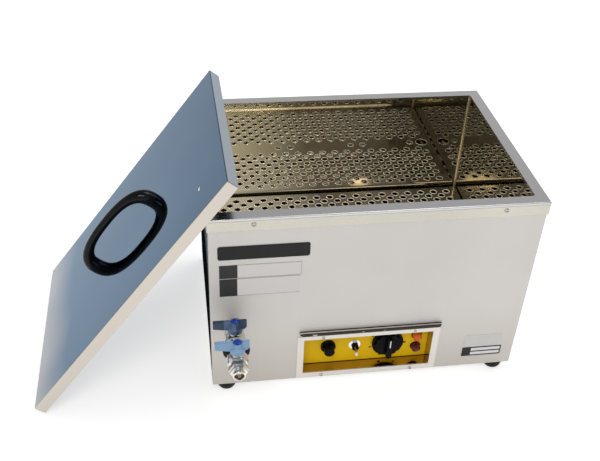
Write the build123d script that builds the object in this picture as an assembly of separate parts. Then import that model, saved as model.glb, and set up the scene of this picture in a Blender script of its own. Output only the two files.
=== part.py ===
from build123d import *
import math
import os

# Baby bottle sterilizer, a heated water tank in a sheet steel casing.
# Millimetres. X runs along the front, Y to the back, Z up from the floor.
# Every piece is built about the middle of the casing, then moved once so that
# the origin is the middle of the base of the whole object's box.

# Casing and rim
rim_length = 540.0
rim_depth = 380.0
rim_top = 370.0
rim_overhang = 2.0
foot_height = 18.0
casing_sheet = 1.0
fold_radius = 2.0
return_width = 14.0
seam = 0.4

# Tank
rim_width = 20.0
tank_sheet = 1.2
tank_floor = 146.0
tank_corner = 3.0
floor_corner = 1.2
blanket = 13.0
lip_height = 4.0
lip_radius = 1.5

# Band under the rim
band_height = 18.4
band_sheet = 1.8
band_gap = 0.6
band_screw_x = 198.0
band_screw_drop = 11.6

# Lift-out perforated plate
plate_top = 168.0
plate_sheet = 1.5
plate_side_gap = 2.0
plate_bend = 10.0
hole_diameter = 11.5
hole_pitch = 26.5
hole_margin = 12.0
middle_columns = (5, 7, 15)
finger_hole_diameter = 24.0
finger_hole_column = 17

# Control window in the front panel
window_x = 1.5
window_length = 226.0
window_bottom = 30.0
window_height = 78.0
bezel_side = 11.5
bezel_lower = 11.4
bezel_upper = 8.2
bezel_sheet = 1.0
bezel_screw_inset = 33.0
bezel_screw_rise = 3.8
bezel_screw_drop = 7.4
recess_depth = 22.0
recess_sheet = 1.0
control_sheet = 1.0

# Drip ledge over the window
ledge_shift = 1.5
ledge_over = 10.0
ledge_reach = 8.0
ledge_rise = 20.5
ledge_lip = 4.5
ledge_sheet = 1.0

# Controls, all on the control plate
control_rise = 40.0
button_from_edge = 46.5
toggle_from_edge = 93.5
dial_from_edge = 73.5
lamp_from_edge = 21.0
lamp_over = 10.5
lamp_under = 15.5
button_base_diameter = 26.0
button_cap_diameter = 18.5
button_travel = 4.0
button_collar = 8.0
button_stem = 5.0
dial_diameter = 56.0
dial_reach = 22.0
shaft_diameter = 6.0
toggle_rest = 12.0
toggle_bushing = 6.0
dial_neck = 5.0
lamp_tube = 6.0
thermostat_depth = 34.0

# Drain line with two ball valves in series
drain_inset = 37.0
drain_rise = 12.0
valve_standoff = 38.0
valve_pitch = 46.5
valve_half_length = 20.5
barrel_diameter = 34.0
valve_bore = 12.0
ball_diameter = 20.0
seal_ring_diameter = 43.0
nozzle_length = 13.0
nozzle_diameter = 20.0
nozzle_bore = 16.0
stub_diameter = 18.0
wing_long = 35.0
wing_short = 18.5
wing_width = 8.0
handle_foot = 178.6
handle_top = 198.0

# Lid
lid_length = 538.0
lid_depth = 370.0
lid_height = 20.0
lid_sheet = 1.2
lid_fold = 1.6
lid_tilt = 52.5
lid_turn = 1.16
lid_shift = -20.5
lid_vent_x = 206.0
lid_vent_y = -124.0
vent_diameter = 7.0
bow_half_length = 84.0
bow_rise = 40.0
bow_grip_radius = 7.6
bow_squareness = 0.76
bow_foot_radius = 13.0

# Clearances
thread_gap = 0.05
running_gap = 0.05
hole_gap = 0.3
rest_gap = 0.3

# Feet and cable inlet
foot_diameter = 34.0
foot_inset = 25.0
foot_setback = 17.0
gland_inset = 63.0
gland_height = 44.0
gland_bore = 8.0

# Blank plates on the front panel
plate_margin = 14.0
name_length = 144.0
name_height = 26.0
name_drop = 52.0
upper_length = 130.0
upper_height = 26.4
upper_drop = 89.0
lower_length = 128.0
lower_height = 35.4
lower_drop = 116.6
rating_margin = 22.5
rating_length = 71.5
rating_height = 20.7
rating_rise = 22.5
notice_length = 69.5
notice_height = 27.0
notice_rise = 45.0

# Parts inside the casing
bulb_y = 80.0
bulb_entry_x = 60.0
bulb_reach = 130.0
heater_right = 150.0
heater_left = 170.0
heater_leg = 60.0
heater_rise = 10.0
heater_radius = 4.0
heater_bend = 9.6
heater_thread = 6.0
heater_tail = 34.8
capillary_thread = 4.0
contactor_length = 60.0
contactor_depth = 70.0
contactor_height = 56.0
terminal_length = 96.0
terminal_depth = 26.0
terminal_height = 14.0
vent_pitch = 30.0

# Derived planes
casing_x = rim_length / 2 - rim_overhang
casing_y = rim_depth / 2 - rim_overhang
tank_x = rim_length / 2 - rim_width
tank_y = rim_depth / 2 - rim_width
flange_under = rim_top - tank_sheet
front = -casing_y
front_inner = front + casing_sheet
plate_front = front + recess_depth
plate_back = plate_front + control_sheet
base_top = foot_height + casing_sheet
window_top = window_bottom + window_height
window_middle = window_bottom + window_height / 2
window_left = window_x - window_length / 2
window_right = window_x + window_length / 2
control_row = window_bottom + control_rise
button_x = window_left + button_from_edge
toggle_x = window_left + toggle_from_edge
dial_x = window_right - dial_from_edge
lamp_x = window_right - lamp_from_edge
lamp_high = control_row + lamp_over
lamp_low = control_row - lamp_under
ledge_top = window_top + ledge_rise
foot_x = casing_x - foot_inset
foot_y = casing_y - foot_setback
gland_x = casing_x - gland_inset
gland_z = foot_height + gland_height
heater_z = tank_floor + heater_rise
drain_x = drain_inset - casing_x
drain_axis = tank_floor + drain_rise
valve_rear_y = front - valve_standoff
valve_front_y = valve_rear_y - valve_pitch
nozzle_tip = valve_front_y - valve_half_length - nozzle_length
plate_x = tank_x - plate_side_gap
plate_y = tank_y - 1.5
dial_face = plate_front - 2.0
bonnet_top = handle_foot - 0.3


def block(x0, x1, y0, y1, z0, z1):
    return Pos((x0 + x1) / 2, (y0 + y1) / 2, (z0 + z1) / 2) * Box(x1 - x0, y1 - y0, z1 - z0)


def rod_x(radius, x0, x1, y, z):
    return Pos((x0 + x1) / 2, y, z) * Rot(0, 90, 0) * Cylinder(radius, x1 - x0)


def rod_y(radius, y0, y1, x, z):
    return Pos(x, (y0 + y1) / 2, z) * Rot(-90, 0, 0) * Cylinder(radius, y1 - y0)


def rod_z(radius, z0, z1, x, y):
    return Pos(x, y, (z0 + z1) / 2) * Cylinder(radius, z1 - z0)


def lathe_z(points):
    # Turned solid about Z from (radius, height) points.
    profile = make_face(Plane.XZ * Polyline(*points, close=True))
    return revolve(profile, Axis.Z, 360)


def lathe_y(points, x, z):
    # Turned solid about a line along Y, from (radius, y) points.
    return Pos(x, 0, z) * Rot(-90, 0, 0) * lathe_z(points)


def hex_y(flats, y0, y1, x, z):
    outline = RegularPolygon(flats / 2, 6, major_radius=False)
    return Pos(x, y0, z) * Rot(-90, 0, 0) * extrude(outline, y1 - y0)


def hex_z(flats, z0, z1, x, y):
    outline = RegularPolygon(flats / 2, 6, major_radius=False)
    return Pos(x, y, z0) * extrude(outline, z1 - z0)


def frame_ring(half_x, half_y, wall, z0, z1):
    outer = block(-half_x, half_x, -half_y, half_y, z0, z1)
    return outer - block(-half_x + wall, half_x - wall, -half_y + wall, half_y - wall, z0, z1)


def pan_screw_front(radius, x, z, y):
    # Pan head screw driven along +Y with its head seated at y.
    head = rod_y(radius, y - 1.8, y, x, z)
    head = fillet(head.edges().sort_by(Axis.Y)[0], 1.2)
    slot = block(x - radius, x + radius, y - 1.9, y - 1.2, z - 0.4, z + 0.4)
    return head - slot


# Tank and its lift-out plate

def tank():
    floor_under = tank_floor - tank_sheet
    outer_x = tank_x + tank_sheet
    outer_y = tank_y + tank_sheet
    body = block(-outer_x, outer_x, -outer_y, outer_y, floor_under, rim_top)
    body = fillet(body.edges().filter_by(Axis.Z), tank_corner + tank_sheet)
    body = fillet(body.faces().sort_by(Axis.Z)[0].edges(), 3.0)
    flange = block(-rim_length / 2, rim_length / 2, -rim_depth / 2, rim_depth / 2, flange_under, rim_top)
    body = body + flange + frame_ring(rim_length / 2, rim_depth / 2, tank_sheet, rim_top - lip_height, rim_top)
    rim_edges = body.faces().sort_by(Axis.Z)[-1].outer_wire().edges()
    body = fillet(rim_edges, lip_radius)
    hollow = block(-tank_x, tank_x, -tank_y, tank_y, tank_floor, rim_top + 1)
    hollow = fillet(hollow.edges().filter_by(Axis.Z), tank_corner)
    hollow = fillet(hollow.faces().sort_by(Axis.Z)[0].edges(), floor_corner)
    body = body - hollow
    body = body - rod_y(stub_diameter / 2 + thread_gap, -tank_y - 5, -tank_y + 5, drain_x, drain_axis)
    for x, y, radius in floor_holes():
        body = body - rod_z(radius, floor_under - 1, tank_floor + 1, x, y)
    return body


def floor_holes():
    heater = [(heater_right, -heater_leg, heater_thread), (heater_right, heater_leg, heater_thread)]
    return [(x, y, radius + hole_gap) for x, y, radius in heater + [(bulb_entry_x, bulb_y, capillary_thread)]]


def finger_holes():
    return [side * finger_hole_column * hole_pitch / 2 for side in (-1, 1)]


def plate_holes():
    # Staggered rows, with a plain strip along the middle that has only a few holes.
    half = hole_pitch / 2
    columns = int((plate_x - hole_margin) / half)
    rows = int((plate_y - plate_bend - hole_margin) / half)
    places = []
    for row in range(-rows, rows + 1):
        for column in range(-columns, columns + 1):
            staggered = abs(row) > 1 and (row + column) % 2 == 0
            if staggered or (row == 0 and abs(column) in middle_columns):
                places.append((column * half, row * half))
    return places


def perforated_plate():
    under = plate_top - plate_sheet
    sheet = Rectangle(2 * plate_x, 2 * (plate_y - plate_bend))
    sheet = sheet - [Pos(x, y) * Circle(hole_diameter / 2) for x, y in plate_holes()]
    sheet = sheet - [Pos(x, 0) * Circle(finger_hole_diameter / 2) for x in finger_holes()]
    flat = Pos(0, 0, under) * extrude(sheet, plate_sheet)
    front_leg = plate_leg()
    drain_notch = block(drain_x - 16, drain_x + 16, -plate_y - 1, -plate_y + 3, tank_floor - 1, plate_top - 3)
    return flat + (front_leg - drain_notch) + mirror(front_leg, Plane.XZ)


def plate_leg():
    # Bent-down front edge of the plate, standing on the tank floor.
    flat_y = -(plate_y - plate_bend)
    centre = (flat_y, plate_top - plate_bend)
    ring = Circle(plate_bend) - Circle(plate_bend - plate_sheet)
    quarter = Pos(*centre) * ring & Pos(flat_y - plate_bend, plate_top) * Rectangle(2 * plate_bend, 2 * plate_bend)
    leg_height = centre[1] - tank_floor
    leg = Pos(-plate_y + plate_sheet / 2, tank_floor + leg_height / 2) * Rectangle(plate_sheet, leg_height)
    return Pos(-plate_x, 0, 0) * extrude(Plane.YZ * (quarter + leg), 2 * plate_x)


# Casing

def front_panel():
    face = block(-casing_x, casing_x, front, front_inner, foot_height, flange_under)
    left = block(-casing_x, -casing_x + casing_sheet, front, front + return_width, foot_height, flange_under)
    top = block(-casing_x, casing_x, front, front + 13, flange_under - casing_sheet, flange_under)
    panel = face + left + mirror(left, Plane.YZ) + top
    corner = panel.edges().filter_by(Axis.Z).group_by(Axis.Y)[0]
    panel = fillet(corner, fold_radius * 0.9)
    window = block(window_left, window_right, front - 1, front_inner + 1, window_bottom, window_top)
    window = fillet(window.edges().filter_by(Axis.Y), 1.0)
    drain = rod_y(stub_diameter / 2 + hole_gap, front - 1, front_inner + 1, drain_x, drain_axis)
    panel = panel - window - drain
    for x, z in bezel_screw_points():
        panel = panel - rod_y(1.8, front - 1, front_inner + 1, x, z)
    for x in (-band_screw_x, band_screw_x):
        panel = panel - rod_y(1.8, front - 1, front_inner + 1, x, band_screw_z())
    return panel


def side_panel(sign):
    start = front + return_width + seam
    wall = block(casing_x - casing_sheet, casing_x, start, casing_y - casing_sheet - seam, foot_height, flange_under)
    top = block(casing_x - 13, casing_x, start, casing_y - 16, flange_under - casing_sheet, flange_under)
    low = block(casing_x - 13, casing_x, start, casing_y - 16, base_top, base_top + casing_sheet)
    panel = wall + top + low
    return panel if sign > 0 else mirror(panel, Plane.YZ)


def rear_panel():
    face = block(-casing_x, casing_x, casing_y - casing_sheet, casing_y, foot_height, flange_under)
    top = block(-casing_x + 14, casing_x - 14, casing_y - 13, casing_y, flange_under - casing_sheet, flange_under)
    inlet = rod_y(10 + hole_gap, casing_y - 2, casing_y + 1, gland_x, gland_z)
    panel = face + top - inlet
    for x in (-band_screw_x, band_screw_x):
        panel = panel - rod_y(1.8, casing_y - 2, casing_y + 1, x, band_screw_z())
    for column in range(5):
        x = (column - 4) * vent_pitch
        slot = block(x, x + 0.6 * vent_pitch, casing_y - 2, casing_y + 1, foot_height + 30, foot_height + 33)
        panel = panel - slot - Pos(0, 0, 10) * slot - Pos(0, 0, 20) * slot
    return panel


def base_plate():
    edge = casing_sheet + 0.3
    sheet = block(-casing_x + edge, casing_x - edge, front + edge, casing_y - edge, foot_height, base_top)
    for x, y in foot_points():
        sheet = sheet - rod_z(3.0 + hole_gap, foot_height - 1, base_top + 1, x, y)
    return sheet


def band_screw_z():
    return rim_top - band_screw_drop


def top_band():
    top = rim_top - lip_height - band_gap
    ring = frame_ring(casing_x + band_sheet, casing_y + band_sheet, band_sheet, top - band_height, top)
    ring = fillet(ring.edges().filter_by(Axis.Z).group_by(SortBy.LENGTH)[0].filter_by(outside_band), 1.5)
    for x in (-band_screw_x, band_screw_x):
        ring = ring - rod_y(2.0 + hole_gap, -rim_depth, -casing_y + 1, x, band_screw_z())
        ring = ring - rod_y(2.0 + hole_gap, casing_y - 1, rim_depth, x, band_screw_z())
    return ring


def outside_band(edge):
    return abs(edge.center().X) > casing_x + band_sheet / 2 and abs(edge.center().Y) > casing_y + band_sheet / 2


def band_screws():
    # Two pan head screws at the front and two at the back, each with its shank.
    seat = -casing_y - band_sheet
    screws = []
    for x in (-band_screw_x, band_screw_x):
        shank = rod_y(1.7, seat, front + 6, x, band_screw_z())
        screw = pan_screw_front(4.0, x, band_screw_z(), seat) + shank
        screws.append(screw)
        screws.append(mirror(screw, Plane.XZ))
    return screws


def insulation():
    # Blanket around the tank walls, clear of the casing.
    outer_x = tank_x + tank_sheet + blanket
    outer_y = tank_y + tank_sheet + blanket
    ring = frame_ring(outer_x, outer_y, blanket, tank_floor + 2, rim_top - 26)
    return ring - rod_y(stub_diameter / 2 + 1.5, -casing_y, -tank_y, drain_x, drain_axis)


def foot_points():
    return [(x, y) for x in (-foot_x, foot_x) for y in (-foot_y, foot_y)]


def feet():
    radius = foot_diameter / 2
    profile = [(6.0, 0), (10.5, 0), (13.5, 1.2), (15.8, 5.0), (radius, 11.0), (radius, foot_height),
               (3.0 + hole_gap, foot_height), (3.0 + hole_gap, 7.0), (6.0, 7.0)]
    foot = lathe_z(profile)
    return [Pos(x, y, 0) * foot for x, y in foot_points()]


def foot_screws():
    # Screw up through each foot into a nut on the base plate.
    profile = [(0, 4.6), (5.5, 4.6), (5.5, 6.9), (3.0, 6.9), (3.0, base_top + 9), (0, base_top + 9)]
    screw = lathe_z(profile)
    return [Pos(x, y, 0) * screw for x, y in foot_points()]


def foot_nuts():
    nuts = []
    for x, y in foot_points():
        nut = hex_z(10.0, base_top, base_top + 4.5, x, y)
        nuts.append(nut - rod_z(3.0 + thread_gap, base_top - 1, base_top + 6, x, y))
    return nuts


# Control window

def bezel_screw_points():
    low = window_bottom - bezel_screw_drop
    return [(x, z) for x in (window_left + bezel_screw_inset, window_right - bezel_screw_inset)
            for z in (low, window_top + bezel_screw_rise)]


def window_bezel():
    plate = block(window_left - bezel_side, window_right + bezel_side, front - bezel_sheet, front,
                  window_bottom - bezel_lower, window_top + bezel_upper)
    plate = fillet(plate.edges().filter_by(Axis.Y), 2.0)
    opening = block(window_left, window_right, front - 3, front + 1, window_bottom, window_top)
    plate = plate - fillet(opening.edges().filter_by(Axis.Y), 1.0)
    for x, z in bezel_screw_points():
        plate = plate - rod_y(1.8, front - 3, front + 1, x, z)
    return plate


def bezel_screws():
    screws = []
    for x, z in bezel_screw_points():
        radius = 2.4 if z > window_middle else 3.4
        seat = front - bezel_sheet
        screws.append(pan_screw_front(radius, x, z, seat) + rod_y(1.5, seat, front + 5, x, z))
    return screws


def drip_ledge():
    # Folded ledge with rounded ends that keeps splashes off the window.
    half = window_length / 2 + ledge_over
    ledge_x = window_x + ledge_shift
    outline = block(ledge_x - half, ledge_x + half, front - ledge_reach, front, ledge_top - ledge_lip, ledge_top)
    outline = fillet(outline.edges().filter_by(Axis.Z).group_by(Axis.Y)[0], 6.5)
    top_front = outline.faces().sort_by(Axis.Z)[-1].edges().filter_by(lambda e: e.center().Y < front - 0.1)
    outline = fillet(top_front, 0.8)
    under = block(ledge_x - half + ledge_sheet, ledge_x + half - ledge_sheet, front - ledge_reach + ledge_sheet,
                  front - ledge_sheet, ledge_top - ledge_lip - 1, ledge_top - ledge_sheet)
    under = fillet(under.edges().filter_by(Axis.Z).group_by(Axis.Y)[0], 5.5)
    return outline - under


def control_recess():
    # Sleeve between the front panel and the control plate.
    wall = recess_sheet
    outer = block(window_left - wall, window_right + wall, front_inner, plate_front, window_bottom - wall, window_top + wall)
    return outer - block(window_left, window_right, front_inner - 1, plate_front + 1, window_bottom, window_top)


def control_plate():
    plate = block(window_left - 9, window_right + 9, plate_front, plate_back, window_bottom - 7, window_top + 7)
    cuts = [(button_x, control_row, button_collar), (toggle_x, control_row, toggle_bushing),
            (dial_x, control_row, dial_neck), (lamp_x, lamp_high, lamp_tube), (lamp_x, lamp_low, lamp_tube)]
    for x, z, radius in cuts:
        plate = plate - rod_y(radius + hole_gap, plate_front - 1, plate_back + 1, x, z)
    return plate


# Push button

def button_base():
    y = plate_front
    outer = button_base_diameter / 2
    inner = button_cap_diameter / 2 + running_gap
    ring = lathe_y([(0, y), (outer, y), (outer, y - 5), (outer - 1, y - 6), (inner, y - 6), (inner, y - 1.5), (0, y - 1.5)],
                   button_x, control_row)
    collar = rod_y(button_collar, y - 1, plate_back, button_x, control_row)
    housing = block(button_x - 11, button_x + 11, plate_back, plate_back + 24, control_row - 11, control_row + 11)
    return ring + collar + housing - rod_y(button_stem + running_gap, y - 2, plate_back + 16, button_x, control_row)


def button_cap():
    y = plate_front
    back = y - 1.7 - button_travel
    cap = rod_y(button_cap_diameter / 2, y - 19, back, button_x, control_row)
    cap = fillet(cap.edges().sort_by(Axis.Y)[0], 1.6)
    spring_pocket = rod_y(7.4, y - 14, back + 1, button_x, control_row)
    stem = rod_y(button_stem, y - 15, plate_back + 8, button_x, control_row)
    return cap - spring_pocket + stem


def coil(radius, wire, length, turns):
    path = Helix(length / turns, length, radius)
    section = Plane(origin=path @ 0, z_dir=path % 0) * Circle(wire)
    return sweep(section, path=path, is_frenet=True)


def button_spring():
    # Fills the cap's pocket down to the base, and shortens as the cap goes in.
    wire = 0.45
    length = 14 - 1.6 - 2 * wire
    spring = Rot(-90, 0, 0) * coil(6.3, wire, length, 4)
    return Pos(button_x, plate_front - 14 + wire, control_row) * spring


# Toggle switch

def toggle_body():
    y = plate_front
    housing = block(toggle_x - 7, toggle_x + 7, plate_back, plate_back + 22, control_row - 13, control_row + 13)
    bushing = rod_y(toggle_bushing, y - 12, plate_back, toggle_x, control_row)
    bore = rod_y(3.6, y - 7, plate_back + 6, toggle_x, control_row)
    mouth = lathe_y([(0, y - 13), (5.2, y - 13), (3.6, y - 6), (0, y - 6)], toggle_x, control_row)
    return housing + bushing - bore - mouth


def toggle_nut():
    nut = hex_y(15.0, plate_front - 5.5, plate_front - 2.5, toggle_x, control_row)
    washer = rod_y(10.5, plate_front - 2.5, plate_front, toggle_x, control_row)
    hole = rod_y(toggle_bushing + thread_gap, plate_front - 7, plate_front + 1, toggle_x, control_row)
    return nut + washer - hole


def toggle_pivot():
    return plate_front - 3.0


def toggle_lever():
    pivot = toggle_pivot()
    profile = [(0, 4.0), (1.4, 4.0), (1.4, 0), (1.4, -4.0), (1.9, -13.0), (2.7, -19.6), (2.2, -21.4), (0, -21.8)]
    bat = Rot(-90, 0, 0) * lathe_z(profile) + Sphere(3.5)
    return Pos(toggle_x, pivot, control_row) * Rot(toggle_rest, 0, 0) * bat


# Thermostat with its dial

def thermostat_body():
    housing = block(dial_x - 22, dial_x + 22, plate_back, plate_back + thermostat_depth, control_row - 24, control_row + 24)
    neck = rod_y(dial_neck, plate_front - 1.5, plate_back, dial_x, control_row)
    bore = rod_y(shaft_diameter / 2 + running_gap, plate_front - 3, plate_back + 14, dial_x, control_row)
    return housing + neck - bore


def dial_shaft():
    shaft = rod_y(shaft_diameter / 2, plate_front - 15, plate_back + 12, dial_x, control_row)
    flat = block(dial_x - 4, dial_x + 4, plate_front - 16, plate_front - 5, control_row + 2.2, control_row + 4)
    return shaft - flat


def dial_knob():
    y = dial_face
    skirt = rod_y(dial_diameter / 2, y - 4.5, y, dial_x, control_row)
    skirt = chamfer(skirt.edges().sort_by(Axis.Y)[0], 1.0)
    hub = rod_y(24.0, y - 9, y - 4.5, dial_x, control_row)
    for step in range(12):
        angle = math.radians(15 + step * 30)
        x = dial_x + 26.5 * math.cos(angle)
        z = control_row + 26.5 * math.sin(angle)
        hub = hub - rod_y(4.5, y - 10, y - 4.5, x, z)
    grip = block(dial_x - 5, dial_x + 5, y - dial_reach + 2, y - 8, control_row - 23, control_row + 23)
    grip = fillet(grip.edges().filter_by(Axis.Y), 4.0)
    grip = fillet(grip.faces().sort_by(Axis.Y)[0].edges(), 1.5)
    knob = skirt + hub + grip
    pocket = rod_y(shaft_diameter / 2, plate_front - 15, y + 1, dial_x, control_row)
    key = block(dial_x - 4, dial_x + 4, plate_front - 15, plate_front - 5, control_row + 2.2, control_row + 4)
    groove = block(dial_x - 0.9, dial_x + 0.9, y - dial_reach + 1, y - dial_reach + 2.8, control_row + 4, control_row + 20)
    return knob - (pocket - key) - groove


def dial_pointer():
    y = dial_face
    return block(dial_x - 0.9, dial_x + 0.9, y - dial_reach + 1.9, y - dial_reach + 2.8, control_row + 4, control_row + 20)


def dial_scale():
    # Raised tick marks around the dial, without numbers.
    marks = []
    for step in range(7):
        tick = Pos(dial_diameter / 2 + 4.2, 0, 0) * Box(5.0, 0.3, 2.0 if step % 2 else 3.4)
        marks.append(Pos(dial_x, plate_front - 0.15, control_row) * Rot(0, 50 * step - 90, 0) * tick)
    return marks


def thermostat_bulb():
    # Sensing bulb in the tank and the thin capillary back to the thermostat.
    bulb_end = bulb_entry_x - 30
    bulb = rod_x(3.2, bulb_entry_x - bulb_reach, bulb_end, bulb_y, heater_z)
    start = Vector(bulb_end - 0.5, bulb_y, heater_z)
    path = FilletPolyline(start, (bulb_entry_x, bulb_y, heater_z), (bulb_entry_x, bulb_y, control_row + 40),
                          (dial_x, -50, control_row + 40), (dial_x, -50, control_row),
                          (dial_x, plate_back + thermostat_depth, control_row), radius=6)
    section = Plane(origin=path @ 0, z_dir=path % 0) * Circle(1.0)
    return bulb + sweep(section, path=path)


def thermostat_gland():
    under = tank_floor - tank_sheet
    body = rod_z(capillary_thread, under - 12, tank_floor + 4, bulb_entry_x, bulb_y)
    flange = hex_z(12.0, under - 5, under, bulb_entry_x, bulb_y)
    return body + flange - rod_z(1.0 + thread_gap, under - 13, tank_floor + 5, bulb_entry_x, bulb_y)


def bulb_clips():
    clips = []
    for x in (bulb_entry_x - bulb_reach + 20, bulb_entry_x - 50):
        ring = rod_x(4.4, x - 4, x + 4, bulb_y, heater_z) - rod_x(3.2 + thread_gap, x - 5, x + 5, bulb_y, heater_z)
        post = block(x - 4, x + 4, bulb_y - 1, bulb_y + 1, tank_floor, heater_z - 3.8)
        pad = block(x - 4, x + 4, bulb_y - 5, bulb_y + 5, tank_floor, tank_floor + 1)
        clips.append(ring + post + pad)
    return clips


# Pilot lamps

def lamp_lens(z):
    y = plate_front
    lens = lathe_y([(0, y - 12), (5.0, y - 11.4), (7.6, y - 9), (8.2, y - 5), (8.2, y - 1.5), (0, y - 1.5)], lamp_x, z)
    return lens


def lamp_bodies():
    bodies = []
    for z in (lamp_high, lamp_low):
        ring = rod_y(9.4, plate_front - 1.5, plate_front, lamp_x, z)
        tube = rod_y(lamp_tube, plate_front - 1.5, plate_back + 26, lamp_x, z)
        bodies.append(ring + tube)
    return bodies


# Heater in the tank

def heater_element():
    tail = tank_floor - tank_sheet - heater_tail
    path = FilletPolyline((heater_right, -heater_leg, tail), (heater_right, -heater_leg, heater_z),
                          (-heater_left, -heater_leg, heater_z), (-heater_left, heater_leg, heater_z),
                          (heater_right, heater_leg, heater_z), (heater_right, heater_leg, tail), radius=heater_bend)
    section = Plane(origin=path @ 0, z_dir=path % 0) * Circle(heater_radius)
    return sweep(section, path=path)


def heater_bushings():
    under = tank_floor - tank_sheet
    parts = []
    for y in (-heater_leg, heater_leg):
        body = rod_z(heater_thread, under - 14, tank_floor + 0.2, heater_right, y)
        bore = rod_z(heater_radius + thread_gap, under - 15, tank_floor + 1, heater_right, y)
        parts.append(body + hex_z(17.0, under - 6, under, heater_right, y) - bore)
    return parts


def heater_terminals():
    parts = []
    tail = tank_floor - tank_sheet - heater_tail
    for y in (-heater_leg, heater_leg):
        tab = block(heater_right - 0.5, heater_right + 0.5, y - 3.2, y + 3.2, tail - 18, tail - 6)
        parts.append(rod_z(heater_radius, tail - 6, tail, heater_right, y) + tab)
    return parts


# Electrical parts under the tank

def contactor():
    half = contactor_length / 2
    deep = contactor_depth / 2
    body = block(-half, half, -deep, deep, base_top + 4, base_top + 4 + contactor_height)
    ledge = block(-half, half, -deep - 8, deep + 8, base_top + 4, base_top + 4 + contactor_height * 0.36)
    foot = block(-half - 6, half + 6, -deep - 8, deep + 8, base_top, base_top + 4)
    return Pos(-casing_x / 2 + 14, 15, 0) * (body + ledge + foot)


def terminal_block():
    top = base_top + terminal_height
    pitch = terminal_length / 6
    strip = block(0, terminal_length, -terminal_depth / 2, terminal_depth / 2, base_top, top)
    for step in range(6):
        x = (step + 0.5) * pitch
        strip = strip + block(x - 0.38 * pitch, x + 0.38 * pitch, 4 - terminal_depth / 2, terminal_depth / 2 - 4, top, top + 8)
        strip = strip - rod_z(2.4, top + 2, top + 9, x, 0)
    return Pos(gland_x - terminal_length - 9, casing_y - 55, 0) * strip


def cable_gland():
    y = casing_y
    profile = [(gland_bore / 2, y - 12), (10.0, y - 12), (10.0, y), (13.0, y), (13.0, y + 6), (10.6, y + 6.6),
               (10.6, y + 12), (8.4, y + 18), (gland_bore / 2, y + 18)]
    body = lathe_y(profile, gland_x, gland_z)
    return body + (hex_y(25.0, y, y + 6, gland_x, gland_z) - rod_y(6.0, y - 1, y + 8, gland_x, gland_z))


def gland_nut():
    inner = casing_y - casing_sheet
    nut = hex_y(25.0, inner - 5, inner, gland_x, gland_z)
    return nut - rod_y(10.0 + thread_gap, inner - 6, inner + 1, gland_x, gland_z)


# Drain line

def drain_stub():
    end = valve_rear_y + valve_half_length - 9
    pipe = rod_y(stub_diameter / 2, end, -tank_y, drain_x, drain_axis)
    return pipe - rod_y(valve_bore / 2, end - 1, -tank_y + 1, drain_x, drain_axis)


def drain_locknut():
    nut = hex_y(27.0, front - 6, front, drain_x, drain_axis)
    return nut - rod_y(stub_diameter / 2 + thread_gap, front - 7, front + 1, drain_x, drain_axis)


def valve_body(y):
    half = valve_half_length
    x = drain_x
    z = drain_axis
    r = barrel_diameter / 2
    ends = hex_y(27.0, y - half, y - half + 8, x, z) + hex_y(27.0, y + half - 8, y + half, x, z)
    barrel = lathe_y([(0, y - 15), (12.5, y - 15), (r - 1.5, y - 10), (r, y - 5), (r, y + 5), (r - 1.5, y + 10),
                      (12.5, y + 15), (0, y + 15)], x, z)
    bonnet = rod_z(9.0, z, bonnet_top, x, y)
    solid = ends + barrel + bonnet
    socket = stub_diameter / 2 + thread_gap
    room = ball_diameter / 2 + 0.4
    solid = solid - rod_y(socket, y - half - 1, y - half + 9, x, z) - rod_y(socket, y + half - 9, y + half + 1, x, z)
    solid = solid - rod_y(room, y - half + 10, y + half - 10, x, z)
    solid = solid - rod_y(valve_bore / 2, y - half, y + half, x, z)
    return solid - rod_z(3.5 + running_gap, z, bonnet_top + 1, x, y)


def valve_ball(y):
    ball = Sphere(ball_diameter / 2) - Rot(0, 90, 0) * Cylinder(valve_bore / 2, 40)
    slot = block(-2.0, 2.0, -12, 12, ball_diameter / 2 - 2.5, ball_diameter / 2 + 1)
    return Pos(drain_x, y, drain_axis) * (ball - slot)


def valve_stem(y):
    top = handle_top - 3
    bottom = drain_axis + ball_diameter / 2 - 2.4
    key = block(-1.95, 1.95, -3.2, 3.2, bottom - drain_axis, bottom - drain_axis + 3) & Cylinder(3.5, 80)
    shaft = rod_z(3.5, bottom - drain_axis + 2.4, top - drain_axis, 0, 0)
    return Pos(drain_x, y, drain_axis) * (key + shaft)


def valve_seats():
    # A ring on each side of each ball.
    seats = []
    for y in (valve_rear_y, valve_front_y):
        limit = valve_half_length - 10
        for side in (-1, 1):
            inner = y + side * 6.9
            outer = y + side * limit
            ring = rod_y(ball_diameter / 2 + 0.3, min(inner, outer), max(inner, outer), drain_x, drain_axis)
            ring = ring - rod_y(valve_bore / 2 + 0.2, y - 20, y + 20, drain_x, drain_axis)
            seats.append(ring - Pos(drain_x, y, drain_axis) * Sphere(ball_diameter / 2 + 0.1))
    return seats


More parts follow.
